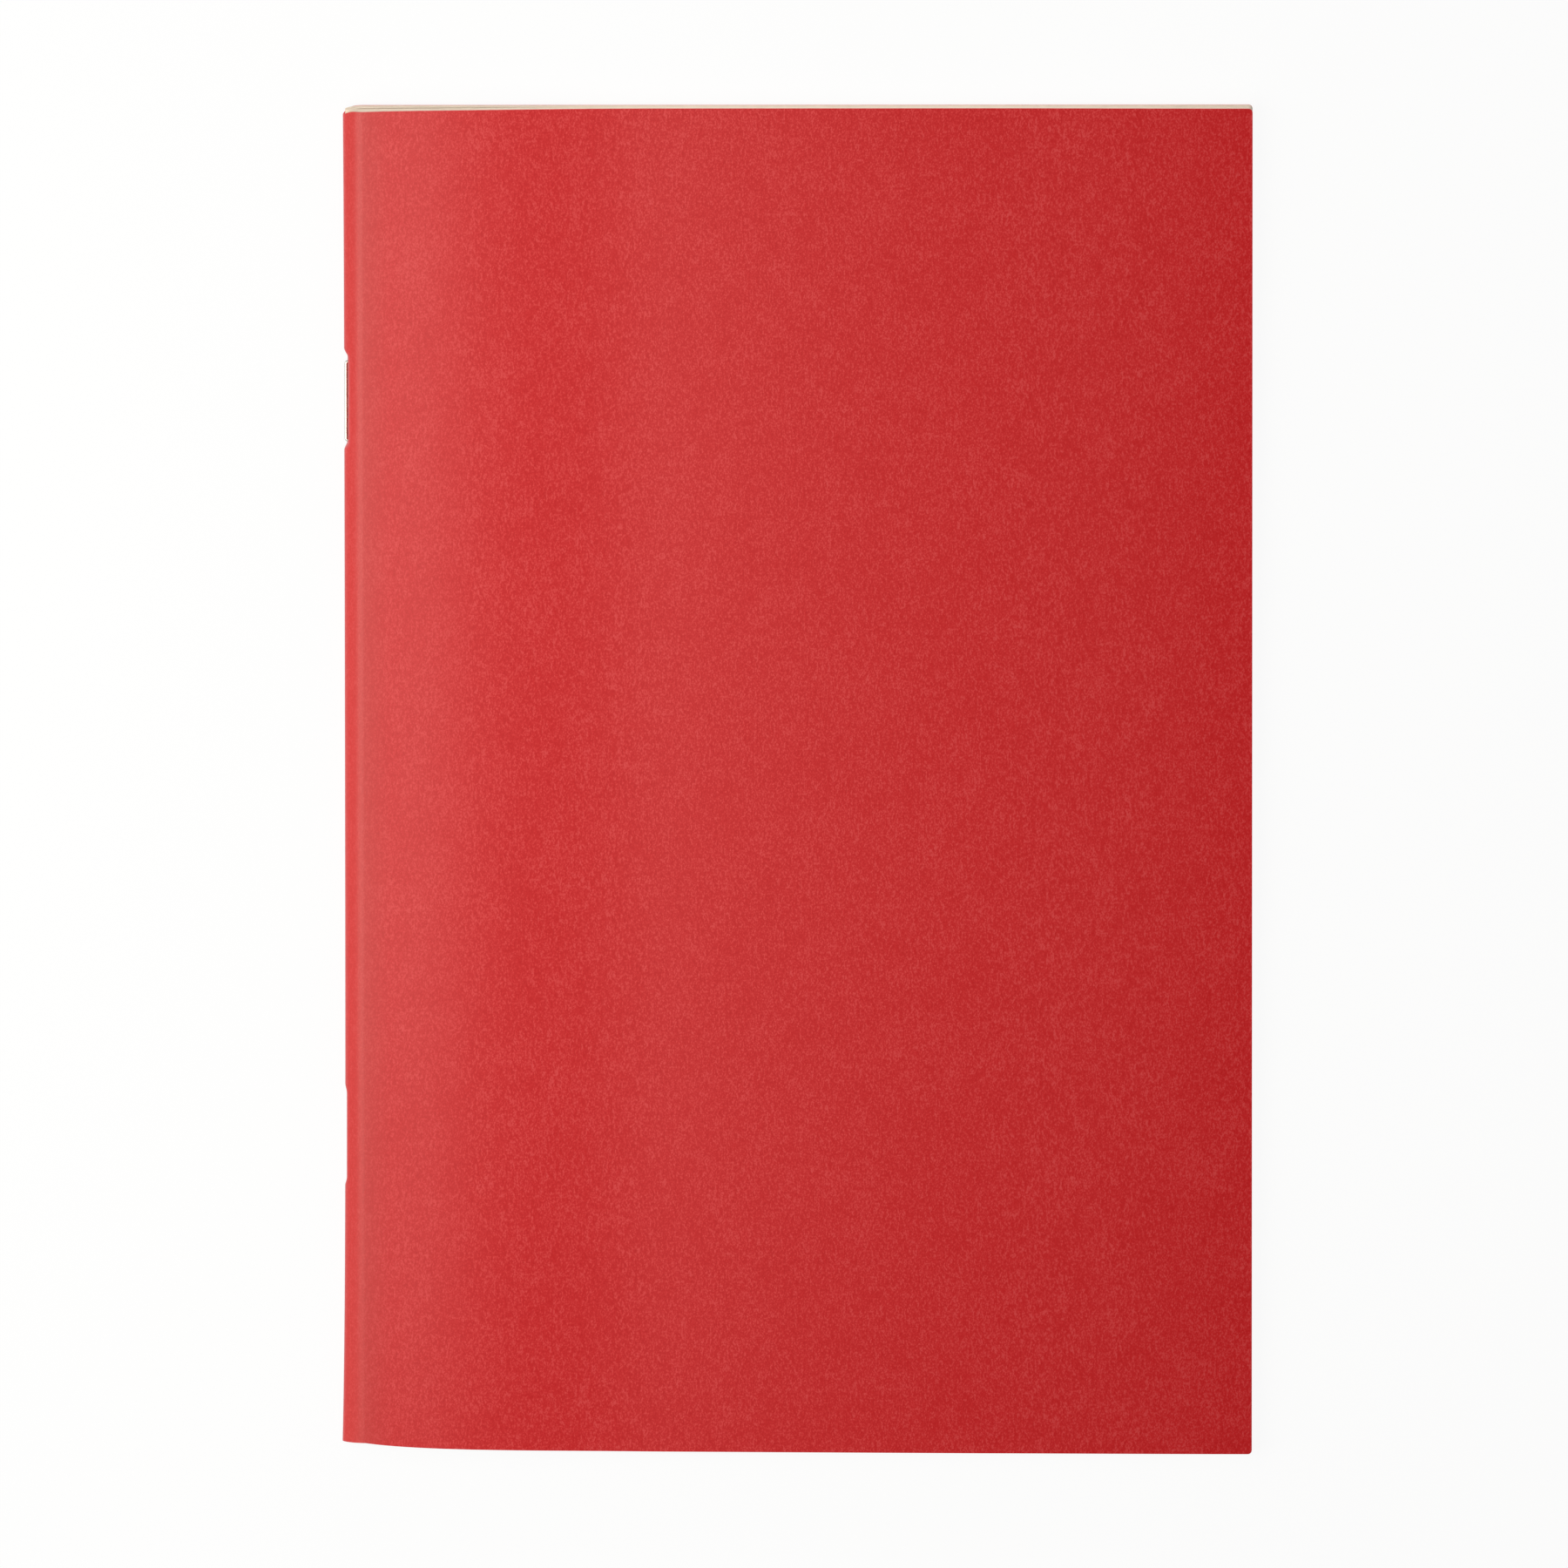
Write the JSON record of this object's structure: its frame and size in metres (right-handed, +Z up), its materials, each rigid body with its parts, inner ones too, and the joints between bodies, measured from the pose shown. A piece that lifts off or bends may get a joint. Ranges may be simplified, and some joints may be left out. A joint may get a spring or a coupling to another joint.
{
  "type": "stapled notebook",
  "caption": "Slim stapled notebook with a plain red card cover, folded cream sheets and wire staples through the fold.",
  "frame": {"origin": "centre of the footprint, on the surface that the notebook lies on", "axes": "+X from the fold to the fore edge, +Y to the head, +Z up through the front cover"},
  "size_m": [0.14, 0.21, 0.0049],
  "materials": {
    "red_card": "matt uncoated card with fine fibres",
    "cream_paper": "smooth uncoated ivory paper",
    "staple_wire": "bright round steel wire"
  },
  "bodies": {
    "back_cover": {"back_cover": "red_card", "sheet_12_back_leaf": "cream_paper"},
    "outer_front_leaf": {"sheet_12_front_leaf": "cream_paper"},
    "front_cover": {"front_cover": "red_card"},
    "back_leaf_01": {"sheet_01_back_leaf": "cream_paper"},
    "front_leaf_01": {"sheet_01_front_leaf": "cream_paper"},
    "back_leaf_02": {"sheet_02_back_leaf": "cream_paper"},
    "front_leaf_02": {"sheet_02_front_leaf": "cream_paper"},
    "back_leaf_03": {"sheet_03_back_leaf": "cream_paper"},
    "front_leaf_03": {"sheet_03_front_leaf": "cream_paper"},
    "back_leaf_04": {"sheet_04_back_leaf": "cream_paper"},
    "front_leaf_04": {"sheet_04_front_leaf": "cream_paper"},
    "back_leaf_05": {"sheet_05_back_leaf": "cream_paper"},
    "front_leaf_05": {"sheet_05_front_leaf": "cream_paper"},
    "back_leaf_06": {"sheet_06_back_leaf": "cream_paper"},
    "front_leaf_06": {"sheet_06_front_leaf": "cream_paper"},
    "back_leaf_07": {"sheet_07_back_leaf": "cream_paper"},
    "front_leaf_07": {"sheet_07_front_leaf": "cream_paper"},
    "back_leaf_08": {"sheet_08_back_leaf": "cream_paper"},
    "front_leaf_08": {"sheet_08_front_leaf": "cream_paper"},
    "back_leaf_09": {"sheet_09_back_leaf": "cream_paper"},
    "front_leaf_09": {"sheet_09_front_leaf": "cream_paper"},
    "back_leaf_10": {"sheet_10_back_leaf": "cream_paper"},
    "front_leaf_10": {"sheet_10_front_leaf": "cream_paper"},
    "back_leaf_11": {"sheet_11_back_leaf": "cream_paper"},
    "front_leaf_11": {"sheet_11_front_leaf": "cream_paper"},
    "folds": {"cover_fold": "red_card", "sheet_01_fold": "cream_paper", "sheet_02_fold": "cream_paper", "sheet_03_fold": "cream_paper", "sheet_04_fold": "cream_paper", "sheet_05_fold": "cream_paper", "sheet_06_fold": "cream_paper", "sheet_07_fold": "cream_paper", "sheet_08_fold": "cream_paper", "sheet_09_fold": "cream_paper", "sheet_10_fold": "cream_paper", "sheet_11_fold": "cream_paper", "sheet_12_fold": "cream_paper"},
    "upper_staple": {"upper_staple": "staple_wire"},
    "lower_staple": {"lower_staple": "staple_wire"}
  },
  "joints": [
    {"name": "centre_opening", "type": "hinge", "parent": "back_cover", "child": "outer_front_leaf", "pos_m": [-0.06645, 0, 0.00245], "axis": [0, -1, 0], "range_deg": [0, 180], "deforming": ["cover_fold", "sheet_01_fold", "sheet_02_fold", "sheet_03_fold", "sheet_04_fold", "sheet_05_fold", "sheet_06_fold", "sheet_07_fold", "sheet_08_fold", "sheet_09_fold", "sheet_10_fold", "sheet_11_fold", "sheet_12_fold"]},
    {"name": "cover_opening", "type": "hinge", "parent": "outer_front_leaf", "child": "front_cover", "pos_m": [-0.06625, 0, 0.00521], "axis": [0, -1, 0], "range_deg": [0, 180]},
    {"name": "back_leaf_01_lift", "type": "hinge", "parent": "back_cover", "child": "back_leaf_01", "pos_m": [-0.06645, 0, 0.00245], "axis": [0, -1, 0], "range_deg": [0, 8.1]},
    {"name": "sheet_01_opening", "type": "hinge", "parent": "back_leaf_01", "child": "front_leaf_01", "pos_m": [-0.06645, 0, 0.00245], "axis": [0, -1, 0], "range_deg": [0, 180]},
    {"name": "back_leaf_02_lift", "type": "hinge", "parent": "back_cover", "child": "back_leaf_02", "pos_m": [-0.06645, 0, 0.00245], "axis": [0, -1, 0], "range_deg": [0, 7.4]},
    {"name": "sheet_02_opening", "type": "hinge", "parent": "back_leaf_02", "child": "front_leaf_02", "pos_m": [-0.06645, 0, 0.00245], "axis": [0, -1, 0], "range_deg": [0, 180]},
    {"name": "back_leaf_03_lift", "type": "hinge", "parent": "back_cover", "child": "back_leaf_03", "pos_m": [-0.06645, 0, 0.00245], "axis": [0, -1, 0], "range_deg": [0, 6.7]},
    {"name": "sheet_03_opening", "type": "hinge", "parent": "back_leaf_03", "child": "front_leaf_03", "pos_m": [-0.06645, 0, 0.00245], "axis": [0, -1, 0], "range_deg": [0, 180]},
    {"name": "back_leaf_04_lift", "type": "hinge", "parent": "back_cover", "child": "back_leaf_04", "pos_m": [-0.06645, 0, 0.00245], "axis": [0, -1, 0], "range_deg": [0, 6]},
    {"name": "sheet_04_opening", "type": "hinge", "parent": "back_leaf_04", "child": "front_leaf_04", "pos_m": [-0.06645, 0, 0.00245], "axis": [0, -1, 0], "range_deg": [0, 180]},
    {"name": "back_leaf_05_lift", "type": "hinge", "parent": "back_cover", "child": "back_leaf_05", "pos_m": [-0.06645, 0, 0.00245], "axis": [0, -1, 0], "range_deg": [0, 5.2]},
    {"name": "sheet_05_opening", "type": "hinge", "parent": "back_leaf_05", "child": "front_leaf_05", "pos_m": [-0.06645, 0, 0.00245], "axis": [0, -1, 0], "range_deg": [0, 180]},
    {"name": "back_leaf_06_lift", "type": "hinge", "parent": "back_cover", "child": "back_leaf_06", "pos_m": [-0.06645, 0, 0.00245], "axis": [0, -1, 0], "range_deg": [0, 4.5]},
    {"name": "sheet_06_opening", "type": "hinge", "parent": "back_leaf_06", "child": "front_leaf_06", "pos_m": [-0.06645, 0, 0.00245], "axis": [0, -1, 0], "range_deg": [0, 180]},
    {"name": "back_leaf_07_lift", "type": "hinge", "parent": "back_cover", "child": "back_leaf_07", "pos_m": [-0.06645, 0, 0.00245], "axis": [0, -1, 0], "range_deg": [0, 3.8]},
    {"name": "sheet_07_opening", "type": "hinge", "parent": "back_leaf_07", "child": "front_leaf_07", "pos_m": [-0.06645, 0, 0.00245], "axis": [0, -1, 0], "range_deg": [0, 180]},
    {"name": "back_leaf_08_lift", "type": "hinge", "parent": "back_cover", "child": "back_leaf_08", "pos_m": [-0.06645, 0, 0.00245], "axis": [0, -1, 0], "range_deg": [0, 3.1]},
    {"name": "sheet_08_opening", "type": "hinge", "parent": "back_leaf_08", "child": "front_leaf_08", "pos_m": [-0.06645, 0, 0.00245], "axis": [0, -1, 0], "range_deg": [0, 180]},
    {"name": "back_leaf_09_lift", "type": "hinge", "parent": "back_cover", "child": "back_leaf_09", "pos_m": [-0.06645, 0, 0.00245], "axis": [0, -1, 0], "range_deg": [0, 2.3]},
    {"name": "sheet_09_opening", "type": "hinge", "parent": "back_leaf_09", "child": "front_leaf_09", "pos_m": [-0.06645, 0, 0.00245], "axis": [0, -1, 0], "range_deg": [0, 180]},
    {"name": "back_leaf_10_lift", "type": "hinge", "parent": "back_cover", "child": "back_leaf_10", "pos_m": [-0.06645, 0, 0.00245], "axis": [0, -1, 0], "range_deg": [0, 1.6]},
    {"name": "sheet_10_opening", "type": "hinge", "parent": "back_leaf_10", "child": "front_leaf_10", "pos_m": [-0.06645, 0, 0.00245], "axis": [0, -1, 0], "range_deg": [0, 180]},
    {"name": "back_leaf_11_lift", "type": "hinge", "parent": "back_cover", "child": "back_leaf_11", "pos_m": [-0.06645, 0, 0.00245], "axis": [0, -1, 0], "range_deg": [0, 0.9]},
    {"name": "sheet_11_opening", "type": "hinge", "parent": "back_leaf_11", "child": "front_leaf_11", "pos_m": [-0.06645, 0, 0.00245], "axis": [0, -1, 0], "range_deg": [0, 180]},
    {"name": "folds_turn", "type": "hinge", "parent": "back_cover", "child": "folds", "pos_m": [-0.06645, 0, 0.00245], "axis": [0, -1, 0], "range_deg": [0, 90]},
    {"name": "upper_staple_turn", "type": "hinge", "parent": "back_cover", "child": "upper_staple", "pos_m": [-0.06645, 0, 0.00245], "axis": [0, -1, 0], "range_deg": [0, 94]},
    {"name": "lower_staple_turn", "type": "hinge", "parent": "back_cover", "child": "lower_staple", "pos_m": [-0.06645, 0, 0.00245], "axis": [0, -1, 0], "range_deg": [0, 64]}
  ],
  "couplings": [
    {"joint": "back_leaf_01_lift", "follows": "centre_opening", "ratio": 0.044444},
    {"joint": "sheet_01_opening", "follows": "centre_opening", "ratio": 0.91111},
    {"joint": "back_leaf_02_lift", "follows": "centre_opening", "ratio": 0.040404},
    {"joint": "sheet_02_opening", "follows": "centre_opening", "ratio": 0.91919},
    {"joint": "back_leaf_03_lift", "follows": "centre_opening", "ratio": 0.036364},
    {"joint": "sheet_03_opening", "follows": "centre_opening", "ratio": 0.92727},
    {"joint": "back_leaf_04_lift", "follows": "centre_opening", "ratio": 0.032323},
    {"joint": "sheet_04_opening", "follows": "centre_opening", "ratio": 0.93535},
    {"joint": "back_leaf_05_lift", "follows": "centre_opening", "ratio": 0.028283},
    {"joint": "sheet_05_opening", "follows": "centre_opening", "ratio": 0.94343},
    {"joint": "back_leaf_06_lift", "follows": "centre_opening", "ratio": 0.024242},
    {"joint": "sheet_06_opening", "follows": "centre_opening", "ratio": 0.95151},
    {"joint": "back_leaf_07_lift", "follows": "centre_opening", "ratio": 0.020202},
    {"joint": "sheet_07_opening", "follows": "centre_opening", "ratio": 0.9596},
    {"joint": "back_leaf_08_lift", "follows": "centre_opening", "ratio": 0.016162},
    {"joint": "sheet_08_opening", "follows": "centre_opening", "ratio": 0.96768},
    {"joint": "back_leaf_09_lift", "follows": "centre_opening", "ratio": 0.012121},
    {"joint": "sheet_09_opening", "follows": "centre_opening", "ratio": 0.97576},
    {"joint": "back_leaf_10_lift", "follows": "centre_opening", "ratio": 0.008081},
    {"joint": "sheet_10_opening", "follows": "centre_opening", "ratio": 0.98384},
    {"joint": "back_leaf_11_lift", "follows": "centre_opening", "ratio": 0.00404},
    {"joint": "sheet_11_opening", "follows": "centre_opening", "ratio": 0.99192},
    {"joint": "folds_turn", "follows": "centre_opening", "ratio": 0.5},
    {"joint": "upper_staple_turn", "follows": "centre_opening", "ratio": 0.52222},
    {"joint": "lower_staple_turn", "follows": "centre_opening", "ratio": 0.35556}
  ]
}
